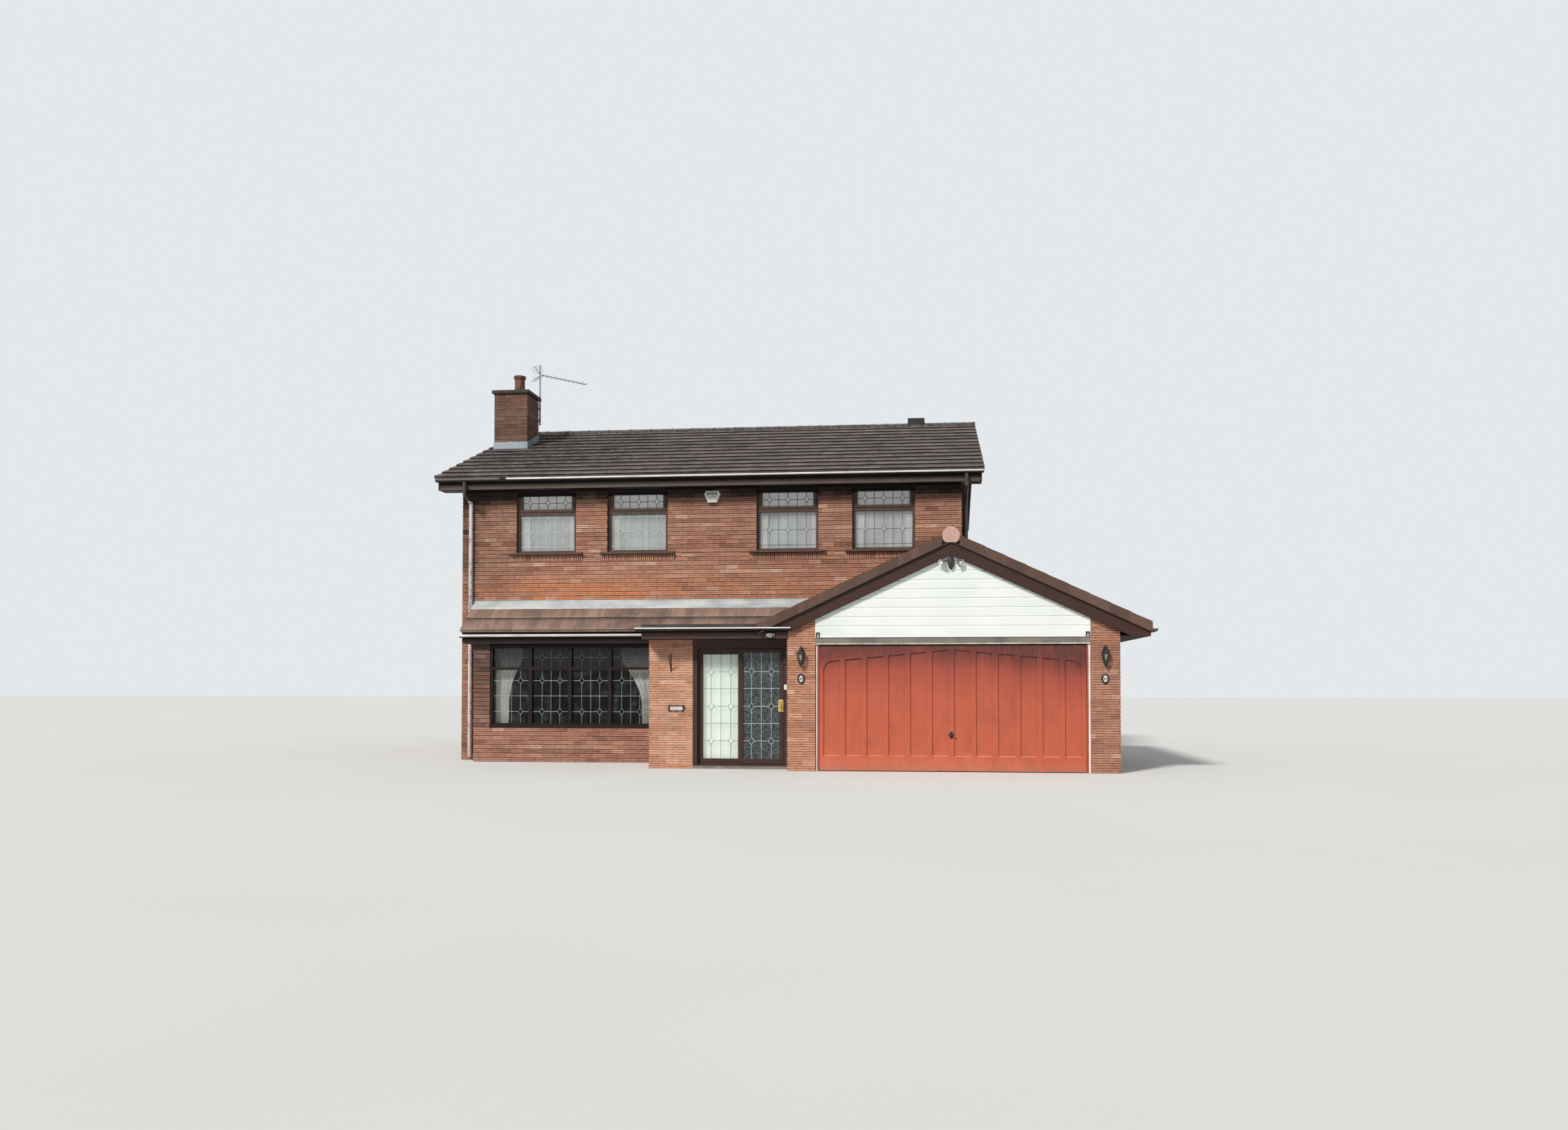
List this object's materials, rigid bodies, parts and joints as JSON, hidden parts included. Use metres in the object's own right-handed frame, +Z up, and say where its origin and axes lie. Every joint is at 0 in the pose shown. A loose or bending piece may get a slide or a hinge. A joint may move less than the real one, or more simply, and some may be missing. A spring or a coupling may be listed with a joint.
{
  "type": "detached house",
  "caption": "Two-storey brick house with gable roof, chimney, bay under a tiled lean-to, flat-roofed porch with sliding door, and gable-fronted garage with up-and-over door.",
  "frame": {"origin": "on the ground, below the middle of the two-storey block's front wall face", "axes": "+X to the right seen from the street, +Y into the house, +Z up"},
  "size_m": [12.1723, 9.9467, 7.8995],
  "materials": {
    "brick": "rough red-brown facing brick with recessed mortar",
    "concrete": "rough grey concrete",
    "floor_timber": "plain boards over joists",
    "grey_tile": "weathered dark concrete tile",
    "brown_tile": "weathered brown concrete tile",
    "terracotta": "fired clay",
    "lead": "dull weathered lead",
    "aerial_metal": "dull aluminium tube",
    "brown_timber": "satin dark brown paint on timber",
    "gutter_plastic": "sun-bleached dark plastic",
    "pipe_plastic": "dull grey plastic",
    "glass": "clear",
    "net": "thin pale net and curtain",
    "felt": "mineral roofing felt",
    "white_board": "white plastic boards",
    "beam_steel": "dull grey paint",
    "door_paint": "sun-faded orange-red paint",
    "black_iron": "satin black",
    "zinc_steel": "zinc-plated",
    "brass": "worn brass",
    "alarm_plastic": "white plastic case",
    "flood_metal": "black body with silver lamps",
    "fitting_plastic": "pale plastic"
  },
  "bodies": {
    "house": {"ground_floor": "concrete", "upper_floor": "floor_timber", "front_wall_lower": "brick", "front_wall_upper": "brick", "rear_wall": "brick", "left_gable_wall": "brick", "right_gable_wall": "brick", "chimney_stack": "brick", "chimney_cap": "concrete", "chimney_pot": "terracotta", "lead_flashings": "lead", "tv_aerial": "aerial_metal", "main_roof_front": "grey_tile", "main_roof_rear": "grey_tile", "main_ridge": "grey_tile", "main_fascias": "brown_timber", "bargeboards": "brown_timber", "gutters": "gutter_plastic", "downpipes": "pipe_plastic", "window_frames": "brown_timber", "window_glass": "glass", "window_sills": "brown_timber", "curtains": "net", "bay_walls": "brick", "bay_window_frame": "brown_timber", "lean_to_roof": "brown_tile", "lean_to_fascia": "brown_timber", "porch_walls": "brick", "porch_roof": "felt", "porch_fascia": "brown_timber", "porch_door_frame": "brown_timber", "garage_piers": "brick", "garage_walls": "brick", "garage_cladding": "white_board", "garage_head_beam": "beam_steel", "garage_door_posts": "white_board", "garage_door_tracks": "zinc_steel", "garage_roof_left": "brown_tile", "garage_roof_right": "brown_tile", "garage_ridge": "brown_tile", "garage_verges": "brown_tile", "wall_ironwork": "black_iron", "alarm_box": "alarm_plastic", "floodlight": "flood_metal", "door_fittings": "fitting_plastic"},
    "porch_leaf": {"porch_sliding_door": "brown_timber", "porch_sliding_glass": "glass", "porch_door_handle": "brass"},
    "garage_carriers": {"garage_door_rollers": "zinc_steel"},
    "garage_leaf": {"garage_door": "door_paint", "garage_door_handle": "black_iron"}
  },
  "joints": [
    {"name": "porch_door_slide", "type": "slide", "parent": "house", "child": "porch_leaf", "axis": [-1, 0, 0], "range_m": [0, 0.63]},
    {"name": "garage_roller_travel", "type": "slide", "parent": "house", "child": "garage_carriers", "axis": [0, 1, 0], "range_m": [0, 1.74]},
    {"name": "garage_door_tilt", "type": "hinge", "parent": "garage_carriers", "child": "garage_leaf", "pos_m": [4.23, -1.92, 1.845], "axis": [-1, 0, 0], "range_deg": [0, 90]}
  ],
  "couplings": [
    {"joint": "garage_roller_travel", "follows": "garage_door_tilt", "m_per_rad": 1.1075}
  ]
}
